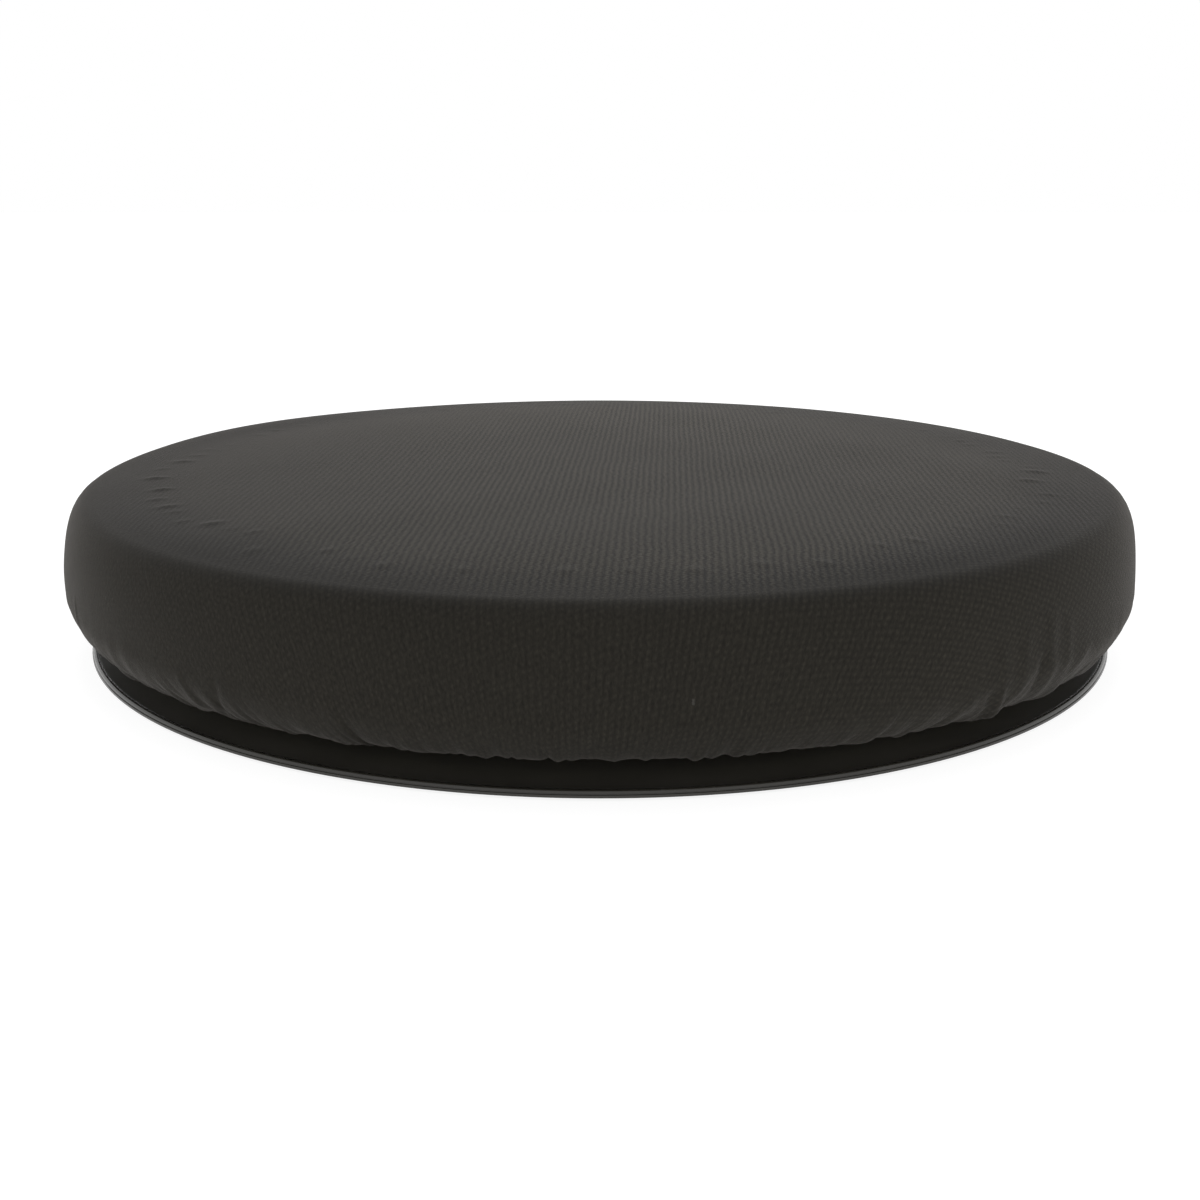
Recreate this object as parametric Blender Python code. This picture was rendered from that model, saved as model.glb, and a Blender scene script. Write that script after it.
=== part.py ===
"""Swivel seat cushion: a round padded seat that turns through 360 degrees on a thin plastic base.

Metres, +Z up. The origin is the centre of the underside, on the surface that the cushion lies on.
Every section below is written in millimetres as (radius, height) and scaled once by MM.
The bodies are base (stays still), seat (turns about Z) and cage (the ball ring, at half the seat's turn).
"""

import math

import bmesh
import bpy
from mathutils import Matrix, Vector

MM = 0.001
GAP = 0.3  # clearance between neighbouring pieces
FACETS = 48  # around every large round piece

# Base plate
BASE_R = 190.0
PLATE_LIFT = 0.6  # how far the anti-slip rings hold the plate off the surface
BASE_WEB_TOP = 2.4
RIM_TOP = 2.8
RIM_LIP = 2.6
RING_DEEP = 0.7  # depth of the recesses that hold the anti-slip rings
OUTER_RING = (158.0, 180.6)
CENTRE_RING = (28.0, 54.0)
BASE_RIBS = 12

# Ball race
RACE_R = 120.0
RACE_HALF = 5.7
RACE_THICK = 1.5
GROOVE_DEEP = 0.5
GROOVE_HALF = 2.1
SEAT_WALL = 1.6
BALL_R = 3.175
BALLS = 16
CAGE_HALF = 7.5
CAGE_THICK = 2.4
LOWER_LAND = 2.6
LOWER_RACE_Z = LOWER_LAND + GAP
BALL_Z = LOWER_RACE_Z + RACE_THICK - GROOVE_DEEP + GAP + BALL_R
UPPER_RACE_Z = BALL_Z + BALL_R + GAP - GROOVE_DEEP
UPPER_LAND = UPPER_RACE_Z + RACE_THICK + GAP

# Centre pivot
POST_R = 11.0
POST_TOP = 10.3
BOLT_R = 3.0
BOLT_END = 1.2
HEAD_R = 6.5
HEAD_HIGH = 2.6
NUT_FLATS = 10.0
NUT_Z = (1.3, 6.3)
WASHER_R = 17.5
WASHER_THICK = 1.2
BUSH_WALL = 1.5
BUSH_FLANGE = 1.0

# Swivel plate
SWIVEL_R = 184.0
SWIVEL_THICK = 2.6
HUB_R = 23.0
HUB_Z = (6.5, 9.0)
HUB_CUP_R = 20.5
SKIRT_R = 160.5  # outside of the turned-down skirt that shields the race
SKIRT_LOW = 3.8
INNER_RIBS = 12
OUTER_RIBS = 24
RIB = 1.6

# Foam and cover
COVER = 1.0  # fabric thickness
COVER_LOW = (185.9, 10.77)  # where the fabric turns in under the plate's edge
WIDEST = (196.8, 25.2)
SHOULDER = (185.6, 56.4)
LOW_POWER = 1.736  # how square the curve below the widest line is
HIGH_POWER = 2.56  # and the one above it
CROWN = 2.5
TOP_FLAT_R = 34.0
HEM_R = 164.6
ELASTIC_R = 163.0
ELASTIC_HALF = 1.2
ELASTIC_Z = 10.6


def clear_scene():
    for thing in list(bpy.data.objects):
        bpy.data.objects.remove(thing, do_unlink=True)


def material(name, colour, roughness, metallic=0.0):
    made = bpy.data.materials.new(name)
    made.use_nodes = True
    shader = made.node_tree.nodes["Principled BSDF"]
    shader.inputs["Base Color"].default_value = (*colour, 1.0)
    shader.inputs["Roughness"].default_value = roughness
    shader.inputs["Metallic"].default_value = metallic
    made.diffuse_color = (*colour, 1.0)
    return made


def pivot(name, height):
    """An empty on the swivel axis that carries what turns with it."""
    empty = bpy.data.objects.new(name, None)
    empty.empty_display_size = 0.03
    empty.location = (0.0, 0.0, height * MM)
    bpy.context.scene.collection.objects.link(empty)
    return empty


def make(name, mesh_maker, finish=None, parent=None, at=(0.0, 0.0, 0.0)):
    """One object from a bmesh. at is its origin, and the shape is given around that point."""
    bm = mesh_maker if isinstance(mesh_maker, bmesh.types.BMesh) else mesh_maker()
    bmesh.ops.recalc_face_normals(bm, faces=bm.faces)
    mesh = bpy.data.meshes.new(name)
    bm.to_mesh(mesh)
    bm.free()
    mesh.shade_smooth()
    mesh.set_sharp_from_angle(angle=math.radians(32))
    thing = bpy.data.objects.new(name, mesh)
    bpy.context.scene.collection.objects.link(thing)
    thing.location = Vector(at) * MM
    if parent is not None:
        thing.parent = parent
        thing.matrix_parent_inverse = Matrix.Translation(parent.location).inverted()
    if finish is not None:
        mesh.materials.append(finish)
    else:
        thing.hide_render = True
        thing.display_type = "WIRE"
    return thing


def turned(section, facets=FACETS):
    """A closed (radius, height) section spun round Z."""
    bm = bmesh.new()
    points = [bm.verts.new((r * MM, 0.0, z * MM)) for r, z in section]
    edges = [
        bm.edges.new((points[i], points[(i + 1) % len(points)]))
        for i in range(len(points))
    ]
    bmesh.ops.spin(
        bm,
        geom=points + edges,
        cent=(0.0, 0.0, 0.0),
        axis=(0.0, 0.0, 1.0),
        angle=2.0 * math.pi,
        steps=facets,
        use_merge=True,
    )
    bmesh.ops.remove_doubles(bm, verts=bm.verts, dist=1e-7)
    on_axis = [e for e in bm.edges if all(v.co.xy.length < 1e-7 for v in e.verts)]
    bmesh.ops.delete(bm, geom=on_axis, context="EDGES")
    return bm


def prism(radius, low, high, sides, turn=0.0):
    bm = bmesh.new()
    bmesh.ops.create_cone(
        bm,
        cap_ends=True,
        segments=sides,
        radius1=radius * MM,
        radius2=radius * MM,
        depth=(high - low) * MM,
        matrix=Matrix.Translation((0.0, 0.0, (low + high) / 2 * MM))
        @ Matrix.Rotation(turn, 4, "Z"),
    )
    return bm


def spokes(count, inner, outer, low, high, wide, turn=0.0):
    """Radial ribs, one box each."""
    bm = bmesh.new()
    for i in range(count):
        bmesh.ops.create_cube(
            bm,
            size=1.0,
            matrix=Matrix.Rotation(turn + 2.0 * math.pi * i / count, 4, "Z")
            @ Matrix.Translation(
                ((inner + outer) / 2 * MM, 0.0, (low + high) / 2 * MM)
            )
            @ Matrix.Diagonal(
                ((outer - inner) * MM, wide * MM, (high - low) * MM, 1.0)
            ),
        )
    return bm


def boolean(thing, other, operation):
    change = thing.modifiers.new(other.name, "BOOLEAN")
    change.operation = operation
    change.object = other
    change.solver = "EXACT"


def groove(sign, face):
    """The ball track across a race's face: sign is -1 where it is cut down into the face, +1 up."""
    points = []
    for i in range(4):
        across = -1.0 + i / 1.5
        deep = GROOVE_DEEP * (1.0 if abs(across) < 0.9 else 0.0)
        points.append((RACE_R + GROOVE_HALF * across, face + sign * deep))
    return points


def seat_section(inset):
    """The padded seat's outline from where it turns under the plate to the flat of its crown, moved in by inset."""
    steps_low, steps_high, steps_top = 4, 5, 1
    outline = []
    for i in range(steps_low + 1):
        t = math.pi / 2 * i / steps_low
        outline.append(
            (
                COVER_LOW[0]
                + (WIDEST[0] - COVER_LOW[0]) * math.sin(t) ** (2 / LOW_POWER),
                WIDEST[1]
                - (WIDEST[1] - COVER_LOW[1]) * max(math.cos(t), 0.0) ** (2 / LOW_POWER),
            )
        )
    for i in range(1, steps_high + 1):
        t = math.pi / 2 * i / steps_high
        outline.append(
            (
                SHOULDER[0]
                + (WIDEST[0] - SHOULDER[0])
                * max(math.cos(t), 0.0) ** (2 / HIGH_POWER),
                WIDEST[1] + (SHOULDER[1] - WIDEST[1]) * math.sin(t) ** (2 / HIGH_POWER),
            )
        )
    for i in range(1, steps_top + 1):
        r = SHOULDER[0] + (TOP_FLAT_R - SHOULDER[0]) * i / steps_top
        share = (r - TOP_FLAT_R) / (SHOULDER[0] - TOP_FLAT_R)
        outline.append((r, SHOULDER[1] + CROWN * (1.0 - share * share)))
    moved = []
    for i, (r, z) in enumerate(outline):
        before = outline[max(i - 1, 0)]
        after = outline[min(i + 1, len(outline) - 1)]
        along = Vector((after[0] - before[0], after[1] - before[1])).normalized()
        if i == 0:
            along = Vector((1.0, 0.0))
        if i == len(outline) - 1:
            along = Vector((-1.0, 0.0))
        moved.append((r - along.y * inset, z + along.x * inset))
    return moved


def base_plate(finish):
    low = PLATE_LIFT
    wall_in = RACE_R - RACE_HALF - GAP
    wall_out = RACE_R + RACE_HALF + GAP
    wall_top = LOWER_RACE_Z + RACE_THICK
    section = [(BOLT_R + GAP, low)]
    for inner, outer in (CENTRE_RING, OUTER_RING):
        section += [
            (inner, low),
            (inner, low + RING_DEEP),
            (outer, low + RING_DEEP),
            (outer, low),
        ]
    section += [
        (BASE_R - 0.6, low),
        (BASE_R, low + 0.6),
        (BASE_R, RIM_TOP - 0.5),
        (BASE_R - 0.6, RIM_TOP),
        (BASE_R - RIM_LIP + 0.6, RIM_TOP),
        (BASE_R - RIM_LIP, BASE_WEB_TOP),
        (wall_out + SEAT_WALL, BASE_WEB_TOP),
        (wall_out + SEAT_WALL, wall_top),
        (wall_out, wall_top),
        (wall_out, LOWER_LAND),
        (wall_in, LOWER_LAND),
        (wall_in, wall_top),
        (wall_in - SEAT_WALL, wall_top),
        (wall_in - SEAT_WALL, BASE_WEB_TOP),
        (POST_R * 2, BASE_WEB_TOP),
        (POST_R * 2, wall_top),
        (POST_R + 1.2, wall_top),
        (POST_R, wall_top + 1.2),
        (POST_R, POST_TOP),
        (BOLT_R + GAP, POST_TOP),
    ]
    plate = make("base_plate", turned(section), finish)
    ribs = make(
        "base_ribs",
        spokes(
            BASE_RIBS,
            POST_R * 2 - 1.0,
            wall_in - 0.8,
            BASE_WEB_TOP - 0.8,
            wall_top - 0.2,
            RIB,
        ),
    )
    outer_ribs = make(
        "base_outer_ribs",
        spokes(
            BASE_RIBS,
            wall_out + 0.8,
            SKIRT_R - 10.0,
            BASE_WEB_TOP - 0.8,
            wall_top - 0.4,
            RIB,
            math.pi / BASE_RIBS,
        ),
    )
    pocket = make(
        "nut_pocket",
        prism(
            (NUT_FLATS / 2 + GAP) / math.cos(math.pi / 6), -1.0, NUT_Z[1] + GAP, 6
        ),
    )
    boolean(plate, ribs, "UNION")
    boolean(plate, outer_ribs, "UNION")
    boolean(plate, pocket, "DIFFERENCE")
    return plate


def anti_slip(name, recess, finish):
    inner, outer = recess[0] + GAP, recess[1] - GAP
    top = PLATE_LIFT + RING_DEEP - GAP
    return make(
        name,
        turned(
            [
                (inner, 0.0),
                (outer, 0.0),
                (outer, top),
                (inner, top),
            ]
        ),
        finish,
    )


def race(name, low, up, finish, parent):
    """A steel track ring. up says that its groove faces up."""
    inner, outer, high = RACE_R - RACE_HALF, RACE_R + RACE_HALF, low + RACE_THICK
    if up:
        section = [(inner, low), (outer, low), (outer, high)]
        section += list(reversed(groove(-1.0, high))) + [(inner, high)]
    else:
        section = [(inner, low)] + groove(1.0, low)
        section += [(outer, low), (outer, high), (inner, high)]
    return make(name, turned(section), finish, parent)


def pivot_bolt(finish):
    under = POST_TOP + GAP + WASHER_THICK + GAP
    top = under + HEAD_HIGH
    bolt = make(
        "pivot_bolt",
        turned(
            [
                (0.0, BOLT_END),
                (BOLT_R - 0.5, BOLT_END),
                (BOLT_R, BOLT_END + 0.5),
                (BOLT_R, under),
                (HEAD_R, under),
                (HEAD_R, under + 0.7),
                (HEAD_R - 1.2, top - 0.7),
                (HEAD_R - 3.0, top),
                (0.0, top),
            ],
            20,
        ),
        finish,
    )
    socket = make("bolt_socket", prism(2.3, top - 1.6, top + 1.0, 6))
    boolean(bolt, socket, "DIFFERENCE")
    return bolt


def pivot_nut(finish):
    low, high = NUT_Z
    nut = make(
        "pivot_nut",
        turned(
            [
                (BOLT_R + GAP, low),
                (4.7, low),
                (4.7, low + 1.0),
                (5.2, low + 1.0),
                (6.0, low + 1.5),
                (6.0, high - 0.5),
                (5.2, high),
                (BOLT_R + GAP, high),
            ],
            20,
        ),
        finish,
    )
    hexagon = make(
        "nut_hexagon",
        prism(NUT_FLATS / 2 / math.cos(math.pi / 6), low - 1.0, high + 1.0, 6),
    )
    boolean(nut, hexagon, "INTERSECT")
    return nut


def retaining_washer(finish):
    low = POST_TOP + GAP
    high = low + WASHER_THICK
    return make(
        "retaining_washer",
        turned(
            [
                (BOLT_R + GAP, low),
                (WASHER_R, low),
                (WASHER_R, high),
                (BOLT_R + GAP, high),
            ],
            36,
        ),
        finish,
    )


def hub_bush(finish, parent):
    bore = POST_R + GAP
    ledge = HUB_Z[1] + GAP
    return make(
        "hub_bush",
        turned(
            [
                (bore, HUB_Z[0] + GAP),
                (bore + BUSH_WALL, HUB_Z[0] + GAP),
                (bore + BUSH_WALL, ledge),
                (WASHER_R, ledge),
                (WASHER_R, ledge + BUSH_FLANGE),
                (bore, ledge + BUSH_FLANGE),
            ],
            36,
        ),
        finish,
        parent,
    )


def swivel_plate(finish, parent):
    land = UPPER_LAND
    top = land + SWIVEL_THICK
    wall_in = RACE_R - RACE_HALF - GAP
    wall_out = RACE_R + RACE_HALF + GAP
    wall_low = UPPER_RACE_Z
    bore = POST_R + GAP + BUSH_WALL + GAP
    section = [
        (bore, HUB_Z[0]),
        (HUB_R, HUB_Z[0]),
        (HUB_R, land),
        (wall_in - SEAT_WALL, land),
        (wall_in - SEAT_WALL, wall_low),
        (wall_in, wall_low),
        (wall_in, land),
        (wall_out, land),
        (wall_out, wall_low),
        (wall_out + SEAT_WALL, wall_low),
        (wall_out + SEAT_WALL, land),
        (SKIRT_R - RIB, land),
        (SKIRT_R - RIB, SKIRT_LOW),
        (SKIRT_R, SKIRT_LOW),
        (SKIRT_R, land),
        (SWIVEL_R - 0.8, land),
        (SWIVEL_R, land + 0.6),
        (SWIVEL_R, top - 0.8),
        (SWIVEL_R - 0.8, top),
        (HUB_CUP_R, top),
        (HUB_CUP_R, HUB_Z[1]),
        (bore, HUB_Z[1]),
    ]
    plate = make("swivel_plate", turned(section), finish, parent)
    inner = make(
        "swivel_inner_ribs",
        spokes(INNER_RIBS, HUB_R - 1.0, wall_in - 0.8, land - 2.7, land + 0.8, RIB),
    )
    outer = make(
        "swivel_outer_ribs",
        spokes(
            OUTER_RIBS,
            wall_out + 0.8,
            SKIRT_R - 0.8,
            land - 2.3,
            land + 0.8,
            RIB,
            math.pi / OUTER_RIBS,
        ),
    )
    boolean(plate, inner, "UNION")
    boolean(plate, outer, "UNION")
    return plate


def ball_cage(finish, parent):
    low, high = BALL_Z - CAGE_THICK / 2, BALL_Z + CAGE_THICK / 2
    cage = make(
        "ball_cage",
        turned(
            [
                (RACE_R - CAGE_HALF, low),
                (RACE_R + CAGE_HALF, low),
                (RACE_R + CAGE_HALF, high),
                (RACE_R - CAGE_HALF, high),
            ]
        ),
        finish,
        parent,
    )
    holes = bmesh.new()
    for i in range(BALLS):
        turn = 2.0 * math.pi * (i + 0.5) / BALLS
        bmesh.ops.create_cone(
            holes,
            cap_ends=True,
            segments=12,
            radius1=(BALL_R + GAP + 0.15) * MM,
            radius2=(BALL_R + GAP + 0.15) * MM,
            depth=3.0 * CAGE_THICK * MM,
            matrix=Matrix.Translation(
                (
                    RACE_R * math.cos(turn) * MM,
                    RACE_R * math.sin(turn) * MM,
                    BALL_Z * MM,
                )
            ),
        )
    boolean(cage, make("cage_pockets", holes), "DIFFERENCE")
    return cage


def balls(finish, parent):
    made = []
    for i in range(BALLS):
        turn = 2.0 * math.pi * (i + 0.5) / BALLS
        sphere = bmesh.new()
        bmesh.ops.create_uvsphere(sphere, u_segments=10, v_segments=6, radius=BALL_R * MM)
        made.append(
            make(
                f"ball_{i + 1:02d}",
                sphere,
                finish,
                parent,
                (RACE_R * math.cos(turn), RACE_R * math.sin(turn), BALL_Z),
            )
        )
    return made


def foam_pad(finish, parent):
    bottom = UPPER_LAND + SWIVEL_THICK + GAP
    outline = seat_section(COVER + GAP)
    above = [p for p in outline if p[1] > bottom + 0.4]
    first = outline[outline.index(above[0]) - 1]
    share = (bottom - first[1]) / (above[0][1] - first[1])
    edge = first[0] + share * (above[0][0] - first[0])
    section = [(0.0, bottom), (edge, bottom)] + above
    section.append((0.0, above[-1][1]))
    return make("foam_pad", turned(section), finish, parent)


def seat_cover(finish, parent):
    outside = seat_section(0.0)
    inside = seat_section(COVER)
    section = [(HEM_R, outside[0][1])] + outside + [(0.0, outside[-1][1])]
    section += [(0.0, inside[-1][1])] + list(reversed(inside)) + [(HEM_R, inside[0][1])]
    return make("seat_cover", turned(section), finish, parent)


def hem_elastic(finish, parent):
    sides = 6
    section = [
        (
            ELASTIC_R + ELASTIC_HALF * math.cos(2.0 * math.pi * i / sides),
            ELASTIC_Z + ELASTIC_HALF * math.sin(2.0 * math.pi * i / sides),
        )
        for i in range(sides)
    ]
    return make("hem_elastic", turned(section), finish, parent)


def build():
    clear_scene()
    seat = pivot("seat_axis", BALL_Z)
    cage = pivot("cage_axis", BALL_Z)
    base_plate(material("base_plastic", (0.018, 0.018, 0.019), 0.38))
    rubber = material("anti_slip_rubber", (0.022, 0.022, 0.022), 0.85)
    anti_slip("anti_slip_ring", OUTER_RING, rubber)
    anti_slip("centre_anti_slip_ring", CENTRE_RING, rubber.copy())
    track = material("race_steel", (0.52, 0.52, 0.50), 0.32, 1.0)
    race("lower_race", LOWER_RACE_Z, True, track, None)
    race("upper_race", UPPER_RACE_Z, False, track.copy(), seat)
    pivot_bolt(material("bolt_steel", (0.50, 0.50, 0.48), 0.35, 1.0))
    pivot_nut(material("nut_steel", (0.55, 0.54, 0.50), 0.38, 1.0))
    retaining_washer(material("washer_steel", (0.56, 0.56, 0.54), 0.36, 1.0))
    hub_bush(material("bush_acetal", (0.72, 0.71, 0.66), 0.45), seat)
    swivel_plate(material("swivel_plastic", (0.020, 0.020, 0.021), 0.45), seat)
    foam_pad(material("foam", (0.46, 0.44, 0.36), 0.95), seat)
    seat_cover(material("cover_knit", (0.030, 0.028, 0.026), 0.92), seat)
    hem_elastic(material("elastic", (0.024, 0.024, 0.024), 0.8), seat)
    ball_cage(material("cage_acetal", (0.66, 0.66, 0.63), 0.5), cage)
    balls(material("ball_steel", (0.60, 0.60, 0.60), 0.18, 1.0), cage)


build()
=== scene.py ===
"""Looks of the swivel seat cushion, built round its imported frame.

Sections are written in millimetres as (radius, height) and scaled once by MM. The cover is a polar grid that is
gathered and simulated as cloth, and every other piece is turned from its section with the same places as the frame.
"""

import math

import bmesh
import bpy
import numpy as np
from mathutils import Matrix, Vector


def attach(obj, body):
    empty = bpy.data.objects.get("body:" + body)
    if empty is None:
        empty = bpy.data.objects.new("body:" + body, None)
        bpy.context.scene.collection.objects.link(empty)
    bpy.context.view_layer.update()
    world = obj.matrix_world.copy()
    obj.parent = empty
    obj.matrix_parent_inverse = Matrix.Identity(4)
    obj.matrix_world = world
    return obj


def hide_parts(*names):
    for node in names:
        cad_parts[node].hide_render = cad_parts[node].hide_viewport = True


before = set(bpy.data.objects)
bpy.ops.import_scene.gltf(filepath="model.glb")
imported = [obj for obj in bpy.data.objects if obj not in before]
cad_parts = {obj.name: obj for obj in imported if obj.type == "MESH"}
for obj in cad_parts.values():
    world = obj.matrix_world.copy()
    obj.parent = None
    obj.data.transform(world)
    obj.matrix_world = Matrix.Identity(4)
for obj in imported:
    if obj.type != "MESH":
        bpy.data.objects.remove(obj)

MM = 0.001
TURN = 2.0 * math.pi
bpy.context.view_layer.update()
SCENE = bpy.context.scene

# The seat's outline, as in the frame
COVER_LOW = (185.9, 10.77)
WIDEST = (196.8, 25.2)
SHOULDER = (185.6, 56.4)
LOW_POWER = 1.736
HIGH_POWER = 2.56
CROWN = 2.5
CROWN_POWER = 4.2
TOP_FLAT_R = 34.0
HEM_R = 164.6

# The knit's two sets of waves across the flat cloth, in cycles per millimetre
RIBS = (0.449, -0.020)
ROWS = (-0.127, 0.445)


# ---------------------------------------------------------------- node helpers


class Nodes:
    """A material's node tree with short ways to add and join nodes."""

    def __init__(self, name):
        self.material = bpy.data.materials.new(name)
        self.material.use_nodes = True
        self.tree = self.material.node_tree
        self.shader = self.tree.nodes["Principled BSDF"]

    def add(self, kind, **settings):
        node = self.tree.nodes.new(kind)
        for key, value in settings.items():
            if key.startswith("in_"):
                node.inputs[key[3:].replace("_", " ")].default_value = value
            else:
                setattr(node, key, value)
        return node

    def link(self, source, target):
        self.tree.links.new(source, target)

    def fix(self, **values):
        """Values that are the same all over the surface, on the shader's own sockets."""
        for key, value in values.items():
            self.shader.inputs[key.replace("_", " ")].default_value = value

    def _put(self, socket, value):
        if hasattr(value, "is_output"):
            self.link(value, socket)
        else:
            socket.default_value = value

    def math(self, operation, a, b=0.0, c=None):
        node = self.add("ShaderNodeMath", operation=operation)
        self._put(node.inputs[0], a)
        self._put(node.inputs[1], b)
        if c is not None:
            self._put(node.inputs[2], c)
        return node.outputs[0]

    def vector(self, operation, a, b=(0.0, 0.0, 0.0), scale=None):
        node = self.add("ShaderNodeVectorMath", operation=operation)
        self._put(node.inputs[0], a)
        if scale is None:
            self._put(node.inputs[1], b)
        else:
            self._put(node.inputs["Scale"], scale)
        return node.outputs["Value" if operation in ("DOT_PRODUCT", "LENGTH") else "Vector"]

    def noise(self, where, scale, detail=3.0, roughness=0.55, colour=False):
        node = self.add("ShaderNodeTexNoise")
        self._put(node.inputs["Vector"], where)
        node.inputs["Scale"].default_value = scale
        node.inputs["Detail"].default_value = detail
        node.inputs["Roughness"].default_value = roughness
        return node.outputs["Color" if colour else "Fac"]

    def voronoi(self, where, scale, feature="F1", randomness=1.0, output="Distance"):
        node = self.add("ShaderNodeTexVoronoi", feature=feature)
        self._put(node.inputs["Vector"], where)
        node.inputs["Scale"].default_value = scale
        node.inputs["Randomness"].default_value = randomness
        return node.outputs[output]

    def ramp(self, value, *stops):
        node = self.add("ShaderNodeValToRGB")
        self.link(value, node.inputs["Fac"])
        elements = node.color_ramp.elements
        while len(elements) < len(stops):
            elements.new(0.5)
        for element, (place, colour) in zip(elements, stops):
            element.position = place
            element.color = (*colour, 1.0) if len(colour) == 3 else colour
        return node.outputs["Color"]

    def remap(self, value, low, high, to_low, to_high, smooth=False):
        node = self.add("ShaderNodeMapRange")
        if smooth:
            node.interpolation_type = "SMOOTHSTEP"
        self.link(value, node.inputs["Value"])
        for key, number in (
            ("From Min", low),
            ("From Max", high),
            ("To Min", to_low),
            ("To Max", to_high),
        ):
            node.inputs[key].default_value = number
        return node.outputs["Result"]

    def mix(self, share, a, b, blend="MIX"):
        node = self.add("ShaderNodeMix", data_type="RGBA", blend_type=blend)
        self._put(node.inputs[0], share)
        self._put(node.inputs[6], (*a, 1.0) if isinstance(a, tuple) else a)
        self._put(node.inputs[7], (*b, 1.0) if isinstance(b, tuple) else b)
        return node.outputs[2]

    def bump(self, height, distance, strength=1.0, below=None):
        node = self.add("ShaderNodeBump")
        self.link(height, node.inputs["Height"])
        node.inputs["Distance"].default_value = distance
        node.inputs["Strength"].default_value = strength
        if below is not None:
            self.link(below, node.inputs["Normal"])
        return node.outputs["Normal"]

    def out(self, colour=None, roughness=None, normal=None):
        for value, key in ((colour, "Base Color"), (roughness, "Roughness"), (normal, "Normal")):
            if value is not None:
                self._put(self.shader.inputs[key], value)
        return self.material


def object_place(n):
    """The object's own coordinates in millimetres."""
    place = n.add("ShaderNodeTexCoord").outputs["Object"]
    return n.vector("SCALE", place, scale=1.0 / MM)


# ------------------------------------------------------------------- materials


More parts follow.
